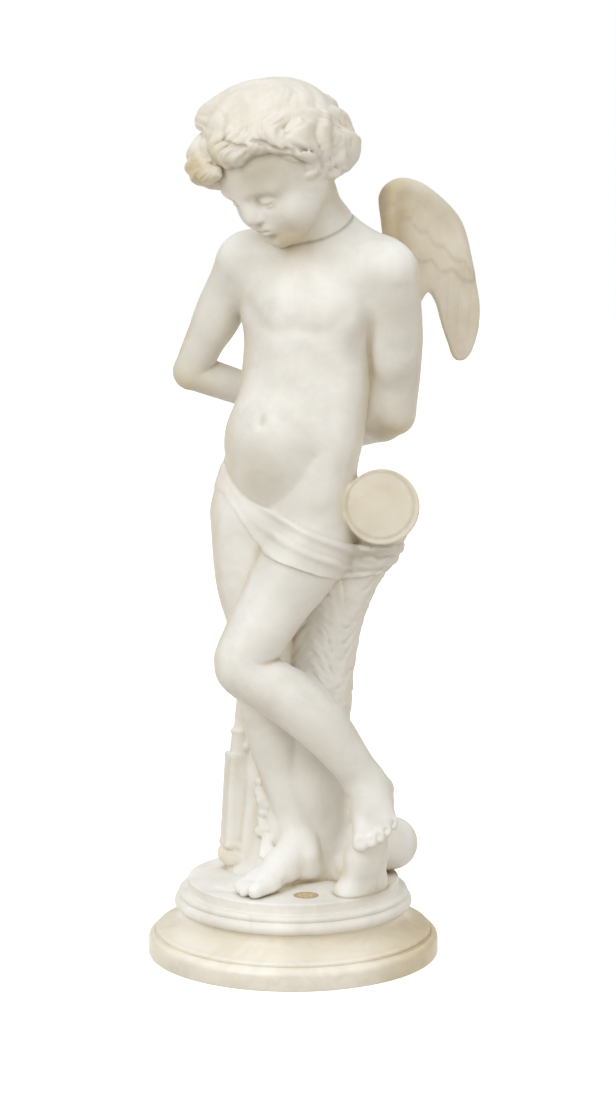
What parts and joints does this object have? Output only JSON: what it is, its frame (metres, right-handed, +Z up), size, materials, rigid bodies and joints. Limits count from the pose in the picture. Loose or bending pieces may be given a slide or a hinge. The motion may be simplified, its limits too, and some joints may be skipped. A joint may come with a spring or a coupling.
{
  "type": "cupid statue",
  "caption": "Carved marble statue of a winged boy leaning on a tree stump with the hands behind the back, on a round moulded plinth and socle.",
  "frame": {"origin": "centre of the socle's underside, on the surface that the statue stands on", "axes": "+Z up along the statue's height; -Y is the front, which the figure's body roughly faces; +X is to the right seen from the front"},
  "size_m": [0.2891, 0.2594, 0.7586],
  "materials": {
    "figure_marble": "honed white marble with a soft sheen",
    "socle_marble": "polished cream marble",
    "plug_brown": "dull dark brown"
  },
  "bodies": {
    "root": {"cupid_figure": "figure_marble", "socle": "socle_marble", "plinth_plug": "plug_brown"}
  },
  "joints": []
}
